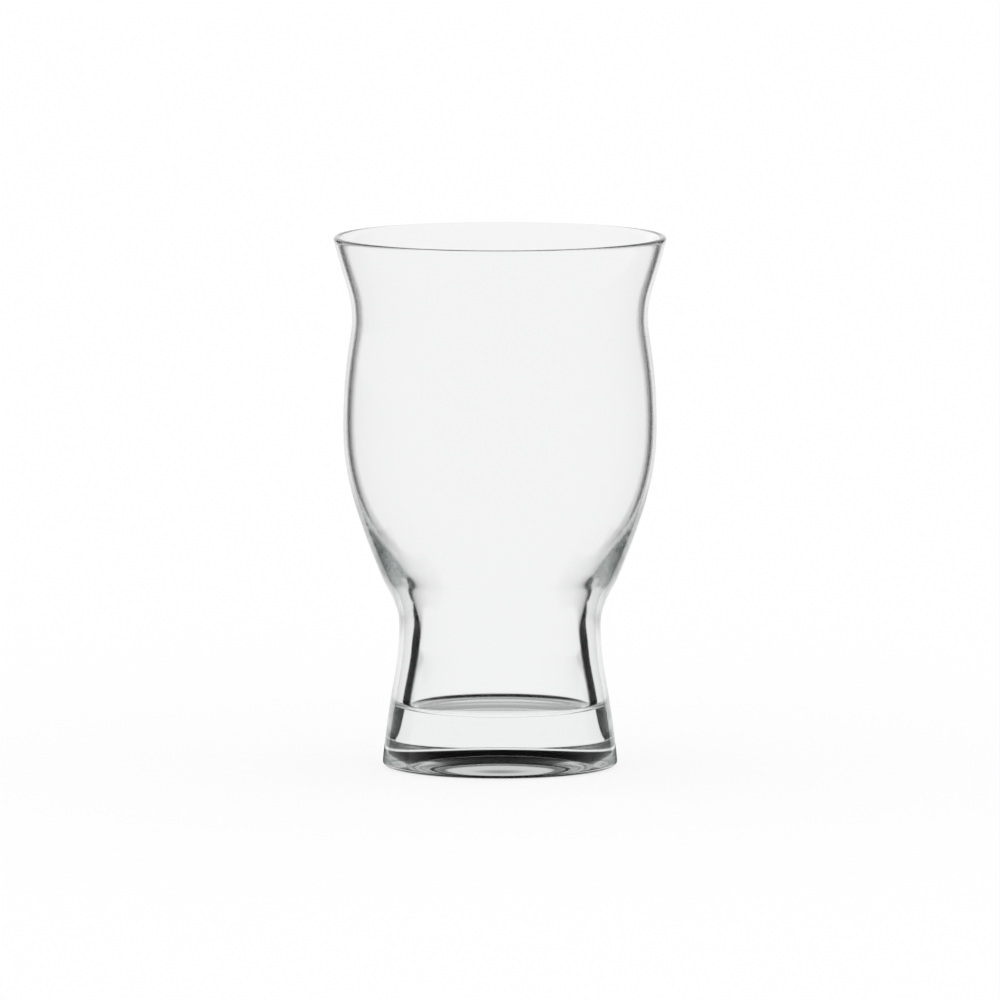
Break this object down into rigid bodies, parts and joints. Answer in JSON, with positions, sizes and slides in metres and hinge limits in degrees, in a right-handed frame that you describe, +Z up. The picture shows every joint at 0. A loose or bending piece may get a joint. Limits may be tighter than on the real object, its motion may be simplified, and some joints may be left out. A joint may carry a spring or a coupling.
{
  "type": "beer glass",
  "caption": "Clear stackable beer glass with a flared rim, rounded bowl, narrow waist and thick base. A ledge inside the waist seats the foot of the next glass in a stack.",
  "frame": {"origin": "centre of the standing ring, on the plane that the glass stands on", "axes": "+Z up along the axis of revolution, from the foot to the rim; the glass is round, so X and Y are any two level directions"},
  "size_m": [0.0888, 0.0888, 0.1422],
  "materials": {
    "clear_glass": "clear, fire-polished"
  },
  "bodies": {
    "root": {"glass_body": "clear_glass"}
  },
  "joints": []
}
